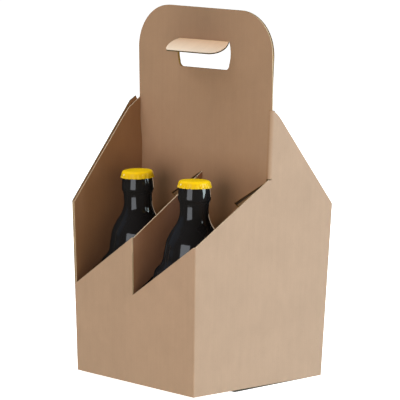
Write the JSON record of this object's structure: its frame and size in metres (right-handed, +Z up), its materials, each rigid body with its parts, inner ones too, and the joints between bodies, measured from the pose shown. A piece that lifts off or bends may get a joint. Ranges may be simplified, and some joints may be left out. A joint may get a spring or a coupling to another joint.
{
  "type": "kraft bottle carrier",
  "caption": "Folded kraft board carrier with a hand hole in its centre handle and a capped dark bottle in each cell.",
  "frame": {"origin": "centre of the bounding box's bottom, on the surface that the carrier stands on", "axes": "+Z up, +X along the front and the handle to the right, -Y out of the front"},
  "size_m": [0.1638, 0.1616, 0.3202],
  "materials": {
    "kraft_board": "matt brown kraft liner, fine fluting just showing",
    "bottle_glass": "glossy glass, so dark with its drink that it looks black",
    "cap_paint": "glossy golden yellow lacquer"
  },
  "bodies": {
    "pack": {"carrier": "kraft_board", "bottle_front_left": "bottle_glass", "bottle_front_right": "bottle_glass", "bottle_back_right": "bottle_glass", "bottle_back_left": "bottle_glass", "cap_front_left": "cap_paint", "cap_front_right": "cap_paint", "cap_back_right": "cap_paint", "cap_back_left": "cap_paint"},
    "flap": {"handle_flap": "kraft_board"}
  },
  "joints": [
    {"name": "flap_crease", "type": "hinge", "parent": "pack", "child": "flap", "pos_m": [-0.0006, -0.00002, 0.2926], "axis": [0.9995, 0.0314, 0], "range_deg": [-95, 65]}
  ]
}
